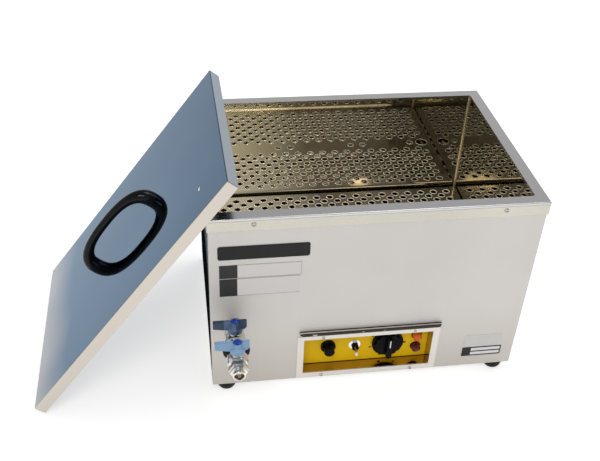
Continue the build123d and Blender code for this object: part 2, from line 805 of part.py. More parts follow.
def valve_handle(y):
    # Wings lie across the line: long one to the left, short one to the right.
    low = handle_foot
    hub = lathe_z([(3.5, low), (11.7, low), (11.7, low + 8.2), (10.9, low + 9.2), (6.6, low + 12.2), (6.2, handle_top - 3),
                   (7.9, handle_top - 2), (7.9, handle_top), (6.9, handle_top), (6.9, handle_top - 2.6), (3.5, handle_top - 2.6)])
    outline = Polyline((-wing_long, 0, handle_top - 11), (-10, 0, low + 4), (10, 0, low + 4), (wing_short - 4, 0, low + 5.5),
                       (wing_short, 0, low + 10), (wing_short, 0, handle_top + 1), (-wing_long, 0, handle_top + 1), close=True)
    wing = extrude(make_face(outline), wing_width / 2, both=True)
    wing = fillet(wing.edges().filter_by(Axis.Y), 1.0)
    wing = fillet(wing.faces().sort_by(Axis.Z)[-1].edges(), 0.8)
    wing = wing - rod_z(8.3, handle_top - 4, handle_top + 2, 0, 0) - rod_z(5.0, low, handle_top, 0, 0)
    hub = hub + wing
    return Pos(drain_x, y, 0) * hub


def valve_cap(y):
    dome = lathe_z([(0, handle_top - 2.4), (6.6, handle_top - 2.4), (6.6, handle_top + 0.2), (5.6, handle_top + 1.6),
                    (3.4, handle_top + 2.7), (0, handle_top + 3.1)])
    return Pos(drain_x, y, 0) * dome


def seal_ring():
    y0 = valve_front_y + valve_half_length + 0.1
    y1 = valve_rear_y - valve_half_length - 0.1
    ring = rod_y(seal_ring_diameter / 2, y0, y1, drain_x, drain_axis)
    ring = fillet(ring.edges(), 1.2)
    return ring - rod_y(stub_diameter / 2 + hole_gap, y0 - 1, y1 + 1, drain_x, drain_axis)


def valve_nipple():
    middle = (valve_rear_y + valve_front_y) / 2
    reach = valve_pitch / 2 - valve_half_length + 8
    pipe = rod_y(stub_diameter / 2, middle - reach, middle + reach, drain_x, drain_axis)
    return pipe - rod_y(valve_bore / 2, middle - 30, middle + 30, drain_x, drain_axis)


def hose_nozzle():
    mouth = nozzle_diameter / 2
    face = valve_front_y - valve_half_length
    profile = [(nozzle_bore / 2, nozzle_tip), (mouth - 0.6, nozzle_tip), (mouth, nozzle_tip + 0.6), (mouth, nozzle_tip + 6.6),
               (11.8, face - 3.4), (11.8, face - 0.1), (9.0, face - 0.1), (9.0, face + 8), (6.0, face + 8), (6.0, face),
               (nozzle_bore / 2, face - 4)]
    body = lathe_y(profile, drain_x, drain_axis)
    collar = hex_y(24.0, face - 5, face - 0.1, drain_x, drain_axis)
    return body + (collar - rod_y(10.5, face - 6, face + 1, drain_x, drain_axis))


# Labels, all blank

def label(left, length, top, height, thick, corner):
    plate = block(left, left + length, front - thick, front, top - height, top)
    return fillet(plate.edges().filter_by(Axis.Y), corner)


def name_plate():
    return label(plate_margin - casing_x, name_length, rim_top - name_drop, name_height, 0.8, 4.0)


def front_labels():
    left = plate_margin + 2 - casing_x
    upper = label(left, upper_length, rim_top - upper_drop, upper_height, 0.3, 0.8)
    return [upper, label(left, lower_length, rim_top - lower_drop, lower_height, 0.3, 0.8)]


def rating_plate():
    left = casing_x - rating_margin - rating_length
    return label(left, rating_length, foot_height + rating_rise + rating_height, rating_height, 0.5, 0.8)


def notice_plate():
    left = casing_x - rating_margin - 1 - notice_length
    return label(left, notice_length, foot_height + notice_rise + notice_height, notice_height, 0.3, 0.8)


# Lid, built flat with its skirt down and then leaned against the rim

def lid_pan():
    pan = block(-lid_length / 2, lid_length / 2, -lid_depth / 2, lid_depth / 2, 0, lid_height)
    pan = fillet(pan.edges().filter_by(Axis.Z), 2.0)
    pan = fillet(pan.faces().sort_by(Axis.Z)[-1].edges(), lid_fold)
    inner_x = lid_length / 2 - lid_sheet
    inner_y = lid_depth / 2 - lid_sheet
    pan = pan - block(-inner_x, inner_x, -inner_y, inner_y, -1, lid_height - lid_sheet)
    for x in (-bow_half_length, bow_half_length):
        pan = pan - rod_z(3.0 + hole_gap, 0, lid_height + 1, x, 0)
    return pan - rod_z(vent_diameter / 2, 0, lid_height + 1, lid_vent_x, lid_vent_y)


def bow_point(angle):
    # Middle line of the arch, a flattened half oval.
    cosine = math.cos(angle)
    x = -bow_half_length * math.copysign(abs(cosine) ** bow_squareness, cosine)
    return Vector(x, 0, bow_rise * max(math.sin(angle), 0.0) ** bow_squareness)


def bow_handle():
    # Arched grip that swells into two round feet.
    sections = []
    for step in range(19):
        angle = math.pi * step / 18
        point = bow_point(angle)
        ahead = bow_point(min(angle + 0.01, math.pi))
        behind = bow_point(max(angle - 0.01, 0.0))
        upright = step in (0, 18)
        along = Vector(0, 0, 1 if step == 0 else -1) if upright else (ahead - behind).normalized()
        swell = (bow_foot_radius - bow_grip_radius) * abs(point.X / bow_half_length) ** 4
        radius = bow_grip_radius + swell
        sections.append(Plane(origin=point, z_dir=along, x_dir=(0, 1, 0)) * Circle(radius))
    arch = loft(sections)
    for x in (-bow_half_length, bow_half_length):
        arch = arch - rod_z(3.0 + thread_gap, -1, 14, x, 0)
    return Pos(0, 0, lid_height) * arch


def bow_screws():
    under = lid_height - lid_sheet
    profile = [(0, under - 2.6), (5.5, under - 2.6), (5.5, under), (3.0, under), (3.0, under + 13), (0, under + 13)]
    screw = lathe_z(profile)
    return [Pos(x, 0, 0) * screw for x in (-bow_half_length, bow_half_length)]


def lid_place():
    # Lower end on the floor, both long skirts on the left edge of the rim.
    tilt = math.radians(lid_tilt)
    turn = math.radians(lid_turn)
    edge_x = -rim_length / 2 + lip_radius
    edge_z = rim_top - lip_radius
    height = math.sin(tilt) * (lid_length / 2 * math.cos(turn) + lid_depth / 2 * math.sin(turn))
    offset = -math.sin(tilt) * edge_x + math.cos(tilt) * edge_z + lip_radius + rest_gap
    across = (math.cos(tilt) * height - offset) / math.sin(tilt)
    return Pos(across, lid_shift, height) * Rot(0, -lid_tilt, 0) * Rot(0, 0, lid_turn)


def box_shift():
    # From the middle of the casing to the middle of the whole object's box.
    place = lid_place()
    corners = [place * Pos(x, y, z) for x in (-lid_length / 2, lid_length / 2)
               for y in (-lid_depth / 2, lid_depth / 2) for z in (0, lid_height)]
    low_x = min(corner.position.X for corner in corners)
    high_y = casing_y + 18
    return Pos(-(low_x + rim_length / 2) / 2, -(nozzle_tip + high_y) / 2, 0)


def all_parts():
    lid = lid_place()
    parts = {
        "tank": tank(),
        "perforated_plate": perforated_plate(),
        "front_panel": front_panel(),
        "side_panel_left": side_panel(-1),
        "side_panel_right": side_panel(1),
        "rear_panel": rear_panel(),
        "base_plate": base_plate(),
        "top_band": top_band(),
        "band_screws": band_screws(),
        "tank_insulation": insulation(),
        "feet": feet(),
        "foot_fasteners": foot_screws() + foot_nuts(),
        "window_bezel": window_bezel(),
        "bezel_screws": bezel_screws(),
        "drip_ledge": drip_ledge(),
        "control_recess": control_recess(),
        "control_plate": control_plate(),
        "button_base": button_base(),
        "button_cap": button_cap(),
        "button_spring": button_spring(),
        "toggle_body": toggle_body(),
        "toggle_nut": toggle_nut(),
        "toggle_lever": toggle_lever(),
        "thermostat_body": thermostat_body(),
        "dial_shaft": dial_shaft(),
        "dial_knob": dial_knob(),
        "dial_pointer": dial_pointer(),
        "dial_scale": dial_scale(),
        "thermostat_bulb": thermostat_bulb(),
        "thermostat_gland": thermostat_gland(),
        "bulb_clips": bulb_clips(),
        "lamp_lens_upper": lamp_lens(lamp_high),
        "lamp_lens_lower": lamp_lens(lamp_low),
        "lamp_bodies": lamp_bodies(),
        "heater_element": [heater_element()] + heater_terminals(),
        "heater_bushings": heater_bushings(),
        "contactor": contactor(),
        "terminal_block": terminal_block(),
        "cable_gland": [cable_gland(), gland_nut()],
        "drain_stub": drain_stub(),
        "drain_locknut": drain_locknut(),
        "valve_nipple": valve_nipple(),
        "valve_seal_ring": seal_ring(),
        "valve_seats": valve_seats(),
        "hose_nozzle": hose_nozzle(),
        "name_plate": name_plate(),
        "front_labels": front_labels(),
        "rating_plate": rating_plate(),
        "notice_plate": notice_plate(),
        "lid_pan": lid * lid_pan(),
        "bow_handle": lid * bow_handle(),
        "bow_screws": [lid * screw for screw in bow_screws()],
    }
    for name, y in (("rear", valve_rear_y), ("front", valve_front_y)):
        parts["valve_body_" + name] = valve_body(y)
        moving = {"handle": valve_handle(y), "cap": valve_cap(y), "core": [valve_ball(y), valve_stem(y)]}
        for piece, shape in moving.items():
            parts["valve_" + piece + "_" + name] = shape
    return parts


def main():
    os.makedirs("parts", exist_ok=True)
    shift = box_shift()
    for name, shape in all_parts().items():
        pieces = shape if isinstance(shape, list) else [shape]
        solids = [solid for piece in pieces for solid in (shift * piece).solids()]
        whole = solids[0] if len(solids) == 1 else Compound(children=solids)
        export_step(whole, "parts/" + name + ".step")


if __name__ == "__main__":
    main()
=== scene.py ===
import math
import bpy
import bmesh
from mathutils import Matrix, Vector


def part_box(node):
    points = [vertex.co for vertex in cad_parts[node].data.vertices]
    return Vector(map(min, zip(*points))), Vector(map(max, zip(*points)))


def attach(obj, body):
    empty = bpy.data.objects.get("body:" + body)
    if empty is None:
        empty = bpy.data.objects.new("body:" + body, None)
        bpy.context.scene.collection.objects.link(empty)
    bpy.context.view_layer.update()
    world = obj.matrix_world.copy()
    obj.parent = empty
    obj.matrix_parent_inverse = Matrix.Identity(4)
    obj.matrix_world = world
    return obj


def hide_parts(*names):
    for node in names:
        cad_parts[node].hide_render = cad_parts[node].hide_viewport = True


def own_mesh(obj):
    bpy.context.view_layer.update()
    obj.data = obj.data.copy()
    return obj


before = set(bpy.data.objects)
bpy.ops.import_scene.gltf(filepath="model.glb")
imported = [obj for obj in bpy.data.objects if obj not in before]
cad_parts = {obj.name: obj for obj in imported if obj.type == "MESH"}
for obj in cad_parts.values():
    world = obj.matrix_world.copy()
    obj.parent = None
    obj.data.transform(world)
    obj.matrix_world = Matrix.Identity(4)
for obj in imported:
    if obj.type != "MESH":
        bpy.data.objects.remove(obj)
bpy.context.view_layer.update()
bpy.ops.object.select_all(action='DESELECT')


# The photograph's view: from above the front, a little to the left, with a
# normal lens. The object stands on its feet on the floor plane.
camera_data = bpy.data.cameras.new("photo_camera")
camera_data.lens = 49.927
camera_data.sensor_width = 36.0
camera_data.clip_start = 0.05
camera = bpy.data.objects.new("photo_camera", camera_data)
camera.location = (-0.15074, -1.13903, 1.09645)
camera.rotation_euler = (0.930877, -0.037507, -0.142991)
bpy.context.scene.collection.objects.link(camera)
bpy.context.scene.camera = camera
bpy.context.scene.view_settings.view_transform = 'Standard'


# White paper floor, wide enough to fill the view. The paper itself is pale,
# and the eye and the mirrors see it lit up to white except in the shadow.
bpy.ops.mesh.primitive_plane_add(size=24.0, location=(0.0, 0.0, 0.0))
floor = bpy.context.object
floor.name = "paper_floor"
paper = bpy.data.materials.new("white_paper")
paper.use_nodes = True
tree = paper.node_tree
shader = tree.nodes["Principled BSDF"]
shader.inputs["Roughness"].default_value = 0.9
shader.inputs["Specular IOR Level"].default_value = 0.1
place = tree.nodes.new("ShaderNodeTexCoord")
fleck = tree.nodes.new("ShaderNodeTexNoise")
fleck.inputs["Scale"].default_value = 3.0
tree.links.new(place.outputs["Object"], fleck.inputs["Vector"])
tone = tree.nodes.new("ShaderNodeMix")
tone.data_type = 'RGBA'
tone.inputs["A"].default_value = (0.80, 0.80, 0.80, 1.0)
tone.inputs["B"].default_value = (0.84, 0.84, 0.84, 1.0)
tree.links.new(fleck.outputs["Fac"], tone.inputs["Factor"])
tree.links.new(tone.outputs["Result"], shader.inputs["Base Color"])
ray = tree.nodes.new("ShaderNodeLightPath")
seen = tree.nodes.new("ShaderNodeMath")
seen.operation = 'MAXIMUM'
tree.links.new(ray.outputs["Is Camera Ray"], seen.inputs[0])
tree.links.new(ray.outputs["Is Glossy Ray"], seen.inputs[1])
through = tree.nodes.new("ShaderNodeMath")
through.operation = 'MAXIMUM'
tree.links.new(seen.outputs["Value"], through.inputs[0])
tree.links.new(ray.outputs["Is Transmission Ray"], through.inputs[1])
glow = tree.nodes.new("ShaderNodeMath")
glow.operation = 'MULTIPLY'
glow.inputs[1].default_value = 0.52
tree.links.new(through.outputs["Value"], glow.inputs[0])
shader.inputs["Emission Color"].default_value = (1.0, 1.0, 1.0, 1.0)
tree.links.new(glow.outputs["Value"], shader.inputs["Emission Strength"])
floor.data.materials.append(paper)


# Studio room: pale near the floor and darker overhead, but plain white where
# the camera looks past the floor. Soft panels hang in front and above on the
# right, and four small warm lamps in front are there for the tank to mirror.
world = bpy.data.worlds.new("studio_room")
world.use_nodes = True
bpy.context.scene.world = world
tree = world.node_tree
place = tree.nodes.new("ShaderNodeTexCoord")
axes = tree.nodes.new("ShaderNodeSeparateXYZ")
heights = tree.nodes.new("ShaderNodeValToRGB")
heights.color_ramp.elements[0].position = 0.05
heights.color_ramp.elements[0].color = (1.0, 0.99, 0.97, 1.0)
heights.color_ramp.elements[1].position = 0.75
heights.color_ramp.elements[1].color = (0.46, 0.47, 0.50, 1.0)
tree.links.new(place.outputs["Generated"], axes.inputs["Vector"])
tree.links.new(axes.outputs["Z"], heights.inputs["Fac"])
tree.links.new(heights.outputs["Color"], tree.nodes["Background"].inputs["Color"])
tree.nodes["Background"].inputs["Strength"].default_value = 0.88
backdrop = tree.nodes.new("ShaderNodeBackground")
backdrop.inputs["Color"].default_value = (1.0, 1.0, 1.0, 1.0)
ray = tree.nodes.new("ShaderNodeLightPath")
either = tree.nodes.new("ShaderNodeMixShader")
tree.links.new(ray.outputs["Is Camera Ray"], either.inputs["Fac"])
tree.links.new(tree.nodes["Background"].outputs["Background"], either.inputs[1])
tree.links.new(backdrop.outputs["Background"], either.inputs[2])
tree.links.new(either.outputs["Shader"], tree.nodes["World Output"].inputs["Surface"])


def soft_panel(name, place, aim, size, power, tint):
    light = bpy.data.lights.new(name, 'AREA')
    light.shape = 'RECTANGLE'
    light.size = size[0]
    light.size_y = size[1]
    light.energy = power
    light.color = tint
    panel = bpy.data.objects.new(name, light)
    panel.location = place
    panel.rotation_euler = (Vector(aim) - Vector(place)).to_track_quat('-Z', 'Y').to_euler()
    bpy.context.scene.collection.objects.link(panel)


soft_panel("front_softbox", (-0.7, -2.2, 2.9), (0.1, 0.0, 0.2), (1.5, 1.1), 30.0, (1.0, 0.97, 0.92))
soft_panel("top_softbox", (0.9, 0.6, 2.8), (0.1, 0.0, 0.2), (1.4, 1.4), 22.0, (1.0, 0.99, 0.97))
tank_middle = (0.2, 0.1, 0.2)
lamp_distance = 3.2
watts_per_area = 26.0
warm_tint = (1.0, 0.88, 0.62)
# Each lamp's bearing and elevation from the tank in degrees, and its size.
lamps = ((4.5, 29.2, 0.15, 0.07), (-19.4, 29.6, 0.14, 0.06),
         (-22.5, 32.7, 0.20, 0.06), (15.0, 33.2, 0.10, 0.05))
for number, (azimuth, elevation, width, height) in enumerate(lamps):
    away = math.radians(azimuth)
    spot = (tank_middle[0] + lamp_distance * math.sin(away),
            tank_middle[1] - lamp_distance * math.cos(away),
            tank_middle[2] + lamp_distance * math.tan(math.radians(elevation)))
    soft_panel("ceiling_lamp_%d" % number, spot, tank_middle, (width, height),
               watts_per_area * width * height, warm_tint)


# Tank: one deep box of stainless sheet, polished bright inside and warm in
# tone, welded up its corners. Its walls are painted darker towards the right as
# a dark reflection. Its flange is folded out over the casing and turned down,
# and is rougher and cooler in tone.
def new_finish(name, colour, metallic, roughness, specular=0.5):
    finish = bpy.data.materials.new(name)
    finish.use_nodes = True
    shader = finish.node_tree.nodes["Principled BSDF"]
    shader.inputs["Base Color"].default_value = (*colour, 1.0)
    shader.inputs["Metallic"].default_value = metallic
    shader.inputs["Roughness"].default_value = roughness
    shader.inputs["Specular IOR Level"].default_value = specular
    return finish, finish.node_tree, shader


def sheet_marks_group():
    # Clouding, rolling lines and fine scratches, as masks from 0 to 1.
    group = bpy.data.node_groups.new("sheet_marks", 'ShaderNodeTree')
    for label, start in (("Cloud Size", 6.0), ("Along X", 8.0), ("Along Y", 8.0), ("Along Z", 900.0)):
        socket = group.interface.new_socket(name=label, in_out='INPUT', socket_type='NodeSocketFloat')
        socket.default_value = start
    for label in ("Cloud", "Lines", "Scratch"):
        group.interface.new_socket(name=label, in_out='OUTPUT', socket_type='NodeSocketFloat')
    entry = group.nodes.new("NodeGroupInput")
    leave = group.nodes.new("NodeGroupOutput")
    place = group.nodes.new("ShaderNodeTexCoord")
    cloud = group.nodes.new("ShaderNodeTexNoise")
    cloud.inputs["Detail"].default_value = 3.0
    group.links.new(place.outputs["Object"], cloud.inputs["Vector"])
    group.links.new(entry.outputs["Cloud Size"], cloud.inputs["Scale"])
    stretch = group.nodes.new("ShaderNodeCombineXYZ")
    for axis in ("X", "Y", "Z"):
        group.links.new(entry.outputs["Along " + axis], stretch.inputs[axis])
    scaled = group.nodes.new("ShaderNodeVectorMath")
    scaled.operation = 'MULTIPLY'
    group.links.new(place.outputs["Object"], scaled.inputs[0])
    group.links.new(stretch.outputs["Vector"], scaled.inputs[1])
    lines = group.nodes.new("ShaderNodeTexNoise")
    lines.inputs["Scale"].default_value = 1.0
    lines.inputs["Detail"].default_value = 5.0
    lines.inputs["Roughness"].default_value = 0.7
    group.links.new(scaled.outputs["Vector"], lines.inputs["Vector"])
    scratch = group.nodes.new("ShaderNodeTexNoise")
    scratch.inputs["Scale"].default_value = 0.35
    scratch.inputs["Detail"].default_value = 2.0
    scratch.inputs["Distortion"].default_value = 0.6
    group.links.new(scaled.outputs["Vector"], scratch.inputs["Vector"])
    sharp = group.nodes.new("ShaderNodeMapRange")
    sharp.inputs["From Min"].default_value = 0.68
    sharp.inputs["From Max"].default_value = 0.76
    group.links.new(scratch.outputs["Fac"], sharp.inputs["Value"])
    group.links.new(cloud.outputs["Fac"], leave.inputs["Cloud"])
    group.links.new(lines.outputs["Fac"], leave.inputs["Lines"])
    group.links.new(sharp.outputs["Result"], leave.inputs["Scratch"])
    return group


def map_range(tree, source, low, high, start=0.3, stop=0.7):
    node = tree.nodes.new("ShaderNodeMapRange")
    node.inputs["From Min"].default_value = start
    node.inputs["From Max"].default_value = stop
    node.inputs["To Min"].default_value = low
    node.inputs["To Max"].default_value = high
    tree.links.new(source, node.inputs["Value"])
    return node.outputs["Result"]


def mix_colours(tree, factor, first, second):
    node = tree.nodes.new("ShaderNodeMix")
    node.data_type = 'RGBA'
    for socket, value in (("A", first), ("B", second)):
        if isinstance(value, tuple):
            node.inputs[socket].default_value = (*value, 1.0)
        else:
            tree.links.new(value, node.inputs[socket])
    tree.links.new(factor, node.inputs["Factor"])
    return node.outputs["Result"]


def add_bump(tree, shader, height, strength, distance=0.001):
    bump = tree.nodes.new("ShaderNodeBump")
    bump.inputs["Strength"].default_value = strength
    bump.inputs["Distance"].default_value = distance
    tree.links.new(height, bump.inputs["Height"])
    tree.links.new(bump.outputs["Normal"], shader.inputs["Normal"])


def object_axis(tree, axis, output="Object"):
    place = tree.nodes.new("ShaderNodeTexCoord")
    axes = tree.nodes.new("ShaderNodeSeparateXYZ")
    tree.links.new(place.outputs[output], axes.inputs["Vector"])
    return axes.outputs[axis]


def sheet_finish(name, dark, light, roughness, along, cloud=6.0, bump=0.0):
    finish, tree, shader = new_finish(name, light, 1.0, roughness[0])
    marks = tree.nodes.new("ShaderNodeGroup")
    marks.node_tree = bpy.data.node_groups.get("sheet_marks") or sheet_marks_group()
    marks.inputs["Cloud Size"].default_value = cloud
    for axis, value in zip("XYZ", along):
        marks.inputs["Along " + axis].default_value = value
    colour = mix_colours(tree, map_range(tree, marks.outputs["Cloud"], 0.0, 1.0), dark, light)
    tree.links.new(colour, shader.inputs["Base Color"])
    tree.links.new(map_range(tree, marks.outputs["Lines"], *roughness), shader.inputs["Roughness"])
    if bump:
        add_bump(tree, shader, marks.outputs["Lines"], bump)
    return finish, tree, shader, colour


def dress(finish, *names):
    for name in names:
        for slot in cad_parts[name].material_slots:
            slot.material = finish


tank_finish, tree, shader, colour = sheet_finish("polished_tank_sheet", (0.82, 0.79, 0.69), (0.92, 0.89, 0.79),
                                                 (0.02, 0.045), (60.0, 60.0, 9.0), 7.0)
flange_z = 0.3650
rim_mask = map_range(tree, object_axis(tree, "Z"), 0.0, 1.0, flange_z, flange_z + 0.0006)
# Painted dark reflection: the walls darken towards the right.
right_painted_reflection = map_range(tree, object_axis(tree, "X"), 0.0, 1.0, 0.02, 0.40)
colour = mix_colours(tree, right_painted_reflection, colour, (0.52, 0.50, 0.43))
tree.links.new(mix_colours(tree, rim_mask, colour, (0.58, 0.575, 0.565)), shader.inputs["Base Color"])
tree.links.new(map_range(tree, rim_mask, 0.03, 0.18, 0.0, 1.0), shader.inputs["Roughness"])
dress(tank_finish, "tank")


# Corner welds: a thin rippled bead up each inner corner of the tank, left as
# welded and blued to gold by the torch, with a faint painted glow of its own.
def ring_piece(name, rings):
    # Skin through rings of points, shaped in edit mode from one circle.
    count = len(rings[0])
    bpy.ops.mesh.primitive_circle_add(vertices=count, radius=0.01)
    piece = bpy.context.object
    piece.name = name
    bpy.ops.object.mode_set(mode='EDIT')
    form = bmesh.from_edit_mesh(piece.data)
    form.verts.ensure_lookup_table()
    first = list(form.verts)
    loop = first
    for vertex, point in zip(first, rings[0]):
        vertex.co = point
    for ring in rings[1:]:
        ahead = [form.verts.new(point) for point in ring]
        for step in range(count):
            after = (step + 1) % count
            form.faces.new((loop[step], loop[after], ahead[after], ahead[step]))
        loop = ahead
    form.faces.new(first[::-1])
    form.faces.new(loop)
    bmesh.ops.recalc_face_normals(form, faces=form.faces)
    bmesh.update_edit_mesh(piece.data)
    bpy.ops.object.mode_set(mode='OBJECT')
    return piece


def join_pieces(name, pieces):
    bpy.ops.object.select_all(action='DESELECT')
    for piece in pieces:
        piece.select_set(True)
    bpy.context.view_layer.objects.active = pieces[0]
    bpy.ops.object.join()
    whole = bpy.context.view_layer.objects.active
    whole.name = name
    whole.data.name = name
    bpy.ops.object.transform_apply(location=True, rotation=True, scale=True)
    bpy.ops.object.shade_smooth_by_angle(angle=math.radians(40))
    bpy.ops.object.select_all(action='DESELECT')
    return whole


# The casing's middle, and from there the way to a bead's axis.
middle_x, middle_y = 0.149698, 0.05
corner_x, corner_y = 0.2489, 0.1689
bead_foot, bead_top = 0.1485, 0.3625
bead_steps = 240
bead_spokes = 8
beads = []
for side_x, side_y in ((-1, -1), (1, -1), (-1, 1), (1, 1)):
    rings = []
    for step in range(bead_steps):
        z = bead_foot + step * (bead_top - bead_foot) / (bead_steps - 1)
        radius = 0.0015 + 0.00022 * math.sin(step * 1.7)
        ring = []
        for spoke in range(bead_spokes):
            angle = spoke * math.tau / bead_spokes
            ring.append((middle_x + side_x * corner_x + radius * math.cos(angle),
                         middle_y + side_y * corner_y + radius * math.sin(angle), z))
        rings.append(ring)
    beads.append(ring_piece("corner_bead", rings))
weld_beads = join_pieces("weld_beads", beads)
weld_finish, _, shader, _ = sheet_finish("gold_weld_bead", (0.78, 0.60, 0.30), (1.0, 0.88, 0.62),
                                         (0.12, 0.24), (300.0, 300.0, 500.0), 60.0, 0.15)
# Painted glow: the bead gives off a little warm light of its own.
shader.inputs["Emission Color"].default_value = (1.0, 0.82, 0.5, 1.0)
shader.inputs["Emission Strength"].default_value = 0.06
weld_beads.data.materials.append(weld_finish)
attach(weld_beads, "casing")


# Perforated plate: polished sheet with punched rows of holes, standing on its
# two bent edges. It lifts out by the finger holes. Its sheet is painted dark
# brown as the reflection of a dim room, painted pale gold on the left as a
# reflection, and painted near black along its back bend as shade.
# Painted dark reflection: the sheet's dark brown colours.
plate_finish, tree, shader, colour = sheet_finish("plate_sheet_painted_reflection", (0.19, 0.155, 0.11), (0.27, 0.225, 0.165),
                                                  (0.04, 0.09), (12.0, 240.0, 60.0), 16.0)
plate_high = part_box("perforated_plate")[1]
# Painted reflection: pale gold towards the left.
left_painted_reflection = map_range(tree, object_axis(tree, "X"), 1.0, 0.0, -0.09, 0.12)
colour = mix_colours(tree, left_painted_reflection, colour, (0.96, 0.87, 0.66))
# Painted shade: a near black line along the back bend.
back_bend_painted_shade = map_range(tree, object_axis(tree, "Y"), 0.0, 1.0, plate_high[1] - 0.0055, plate_high[1] - 0.0035)
tree.links.new(mix_colours(tree, back_bend_painted_shade, colour, (0.02, 0.017, 0.012)), shader.inputs["Base Color"])
dress(plate_finish, "perforated_plate")


# Hole rims: the punch leaves each hole of the plate with a rounded raised lip
# of the same steel. The lip keeps a bright steel colour, tinted gold as a
# painted highlight.
half_pitch = 0.0265 / 2
hole_radius, finger_radius = 0.00575, 0.012
last_row, last_column = 11, 17
holes = []
for row in range(-last_row, last_row + 1):
    for column in range(-last_column, last_column + 1):
        staggered = abs(row) > 1 and (row + column) % 2 == 0
        if staggered or (row == 0 and abs(column) in (5, 7, 15)):
            holes.append((column * half_pitch, row * half_pitch, hole_radius))
holes += [(side * last_column * half_pitch, 0.0, finger_radius) for side in (-1, 1)]
lip_profile = ((0.0, -0.0009), (-0.00005, 0.0), (0.00025, 0.00042),
               (0.0008, 0.00058), (0.0014, 0.00042), (0.0019, -0.0001))
lip_spokes = 20
bpy.ops.mesh.primitive_circle_add(vertices=3, radius=0.01)
hole_rims = bpy.context.object
hole_rims.name = "punched_hole_rims"
hole_rims.data.name = "punched_hole_rims"
bpy.ops.object.mode_set(mode='EDIT')
form = bmesh.from_edit_mesh(hole_rims.data)
bmesh.ops.delete(form, geom=list(form.verts), context='VERTS')
for x, y, radius in holes:
    loops = []
    for outward, rise in lip_profile:
        size = radius + outward
        loops.append([form.verts.new((middle_x + x + size * math.cos(turn * math.tau / lip_spokes),
                                      middle_y + y + size * math.sin(turn * math.tau / lip_spokes),
                                      plate_high[2] + rise)) for turn in range(lip_spokes)])
    for inner, outer in zip(loops, loops[1:]):
        for turn in range(lip_spokes):
            after = (turn + 1) % lip_spokes
            form.faces.new((inner[turn], outer[turn], outer[after], inner[after]))
bmesh.update_edit_mesh(hole_rims.data)
bpy.ops.object.mode_set(mode='OBJECT')
bpy.ops.object.shade_smooth_by_angle(angle=math.radians(60))
bpy.ops.object.select_all(action='DESELECT')
# Painted highlight: the rims are bright gold against the dark sheet.
rim_highlight_finish, _, shader, _ = sheet_finish("hole_rim_painted_highlight", (0.80, 0.72, 0.58), (0.95, 0.88, 0.74),
                                        (0.24, 0.34), (90.0, 90.0, 90.0), 30.0)
shader.inputs["Metallic"].default_value = 0.7
hole_rims.data.materials.append(rim_highlight_finish)
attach(hole_rims, "plate")


# Casing: folded panels of matt cold rolled sheet. The front one wraps round
# its corners, and is painted a little darker and warmer low down as shade. The
# side panels behind it are brighter, and painted darker low down as shade.
# Where they are seen almost edge on, a painted reflection of a dim room, dark
# low down and pale above, takes the place of their colour.
casing_finish, tree, shader, colour = sheet_finish("matt_casing_sheet", (0.63, 0.61, 0.58), (0.68, 0.66, 0.635),
                                                   (0.48, 0.60), (900.0, 900.0, 9.0), 5.0, 0.03)
shader.inputs["Metallic"].default_value = 0.45
# Painted shade: darker and warmer towards the floor.
low_painted_shade = map_range(tree, object_axis(tree, "Z"), 1.0, 0.0, 0.02, 0.16)
tree.links.new(mix_colours(tree, low_painted_shade, colour, (0.58, 0.55, 0.50)), shader.inputs["Base Color"])
dress(casing_finish, "front_panel", "rear_panel")
side_finish, tree, shader, colour = sheet_finish("bright_side_sheet", (0.40, 0.42, 0.45), (0.47, 0.49, 0.52),
                                                 (0.10, 0.18), (900.0, 900.0, 9.0), 5.0, 0.02)
# Painted shade: darker towards the floor.
low_painted_shade = map_range(tree, object_axis(tree, "Z"), 1.0, 0.0, 0.04, 0.30)
colour = mix_colours(tree, low_painted_shade, colour, (0.22, 0.22, 0.235))
# Painted reflection: seen almost edge on, the side turns dark low down and pale above.
edge_view = tree.nodes.new("ShaderNodeLayerWeight")
glancing = map_range(tree, edge_view.outputs["Facing"], 0.0, 1.0, 0.945, 0.965)
high_up = map_range(tree, object_axis(tree, "Z"), 0.0, 1.0, 0.22, 0.35)
painted_room_reflection = mix_colours(tree, high_up, (0.012, 0.013, 0.014), (0.80, 0.84, 0.88))
tree.links.new(mix_colours(tree, glancing, colour, painted_room_reflection), shader.inputs["Base Color"])
tree.links.new(map_range(tree, glancing, 1.0, 0.0, 0.0, 1.0), shader.inputs["Metallic"])
tree.links.new(map_range(tree, glancing, 0.5, 0.0, 0.0, 1.0), shader.inputs["Specular IOR Level"])
dress(side_finish, "side_panel_left", "side_panel_right")
inner_finish, *_ = sheet_finish("plain_inner_sheet", (0.50, 0.50, 0.48), (0.58, 0.58, 0.56),
                                (0.30, 0.42), (9.0, 300.0, 300.0), 9.0, 0.03)
dress(inner_finish, "base_plate", "bulb_clips", "dial_shaft", "drain_stub")


# Insulation: a blanket of yellowish mineral fibre, wrapped round the tank and
# tied there behind the panels.
blanket_finish, tree, shader = new_finish("mineral_blanket", (0.75, 0.70, 0.55), 0.0, 0.95)
place = tree.nodes.new("ShaderNodeTexCoord")
fibre = tree.nodes.new("ShaderNodeTexNoise")
fibre.inputs["Scale"].default_value = 120.0
fibre.inputs["Detail"].default_value = 6.0
tree.links.new(place.outputs["Object"], fibre.inputs["Vector"])
colour = mix_colours(tree, fibre.outputs["Fac"], (0.62, 0.56, 0.40), (0.86, 0.82, 0.68))
tree.links.new(colour, shader.inputs["Base Color"])
add_bump(tree, shader, fibre.outputs["Fac"], 0.8, 0.003)
dress(blanket_finish, "tank_insulation")


